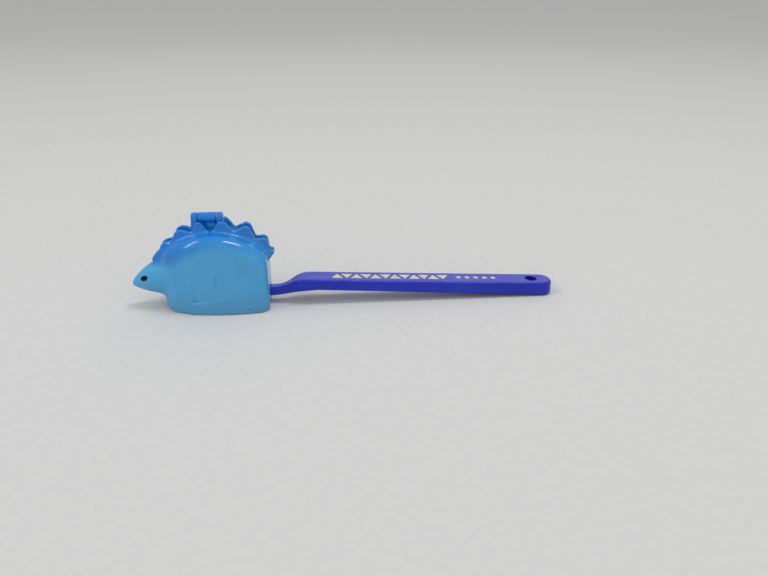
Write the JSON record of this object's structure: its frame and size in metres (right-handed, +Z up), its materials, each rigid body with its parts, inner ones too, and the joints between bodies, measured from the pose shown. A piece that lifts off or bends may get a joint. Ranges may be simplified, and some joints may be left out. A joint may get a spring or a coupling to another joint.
{
  "type": "manual toothbrush",
  "caption": "Child's manual toothbrush with a flat slim handle, standing in a hinged two-piece head cover shaped like a plate-backed dinosaur.",
  "frame": {"origin": "middle of the footprint, on the surface that the cover and the handle's end rest on", "axes": "+Z up, +X from the cover towards the end of the handle, +Y across, from the swinging half of the cover to the fixed half"},
  "size_m": [0.1685, 0.0238, 0.0382],
  "materials": {
    "handle_plastic": "glossy royal blue injection moulding",
    "cover_plastic": "glossy sky blue moulding, airbrushed darker towards the back",
    "bristle_nylon": "translucent white nylon filament",
    "anchor_metal": "bright stamped strip",
    "pin_steel": "drawn wire",
    "gold_foil": "hot-stamped metallic foil, slightly worn"
  },
  "bodies": {
    "brush_and_fixed_half": {"brush_handle": "handle_plastic", "tuft_anchors": "anchor_metal", "tuft_middle_01": "bristle_nylon", "tuft_middle_02": "bristle_nylon", "tuft_middle_03": "bristle_nylon", "tuft_middle_04": "bristle_nylon", "tuft_middle_05": "bristle_nylon", "tuft_middle_06": "bristle_nylon", "tuft_middle_07": "bristle_nylon", "tuft_middle_08": "bristle_nylon", "tuft_middle_09": "bristle_nylon", "tuft_middle_10": "bristle_nylon", "tuft_left_01": "bristle_nylon", "tuft_left_02": "bristle_nylon", "tuft_left_03": "bristle_nylon", "tuft_left_04": "bristle_nylon", "tuft_left_05": "bristle_nylon", "tuft_left_06": "bristle_nylon", "tuft_left_07": "bristle_nylon", "tuft_left_08": "bristle_nylon", "tuft_left_09": "bristle_nylon", "tuft_right_01": "bristle_nylon", "tuft_right_02": "bristle_nylon", "tuft_right_03": "bristle_nylon", "tuft_right_04": "bristle_nylon", "tuft_right_05": "bristle_nylon", "tuft_right_06": "bristle_nylon", "tuft_right_07": "bristle_nylon", "tuft_right_08": "bristle_nylon", "tuft_right_09": "bristle_nylon", "cover_right_half": "cover_plastic", "hinge_pin": "pin_steel", "handle_foil": "gold_foil"},
    "swinging_half": {"cover_left_half": "cover_plastic"}
  },
  "joints": [
    {"name": "cover_hinge", "type": "hinge", "parent": "brush_and_fixed_half", "child": "swinging_half", "pos_m": [-0.05275, 0, 0.0363], "axis": [-1, 0, 0], "range_deg": [0, 120]}
  ]
}
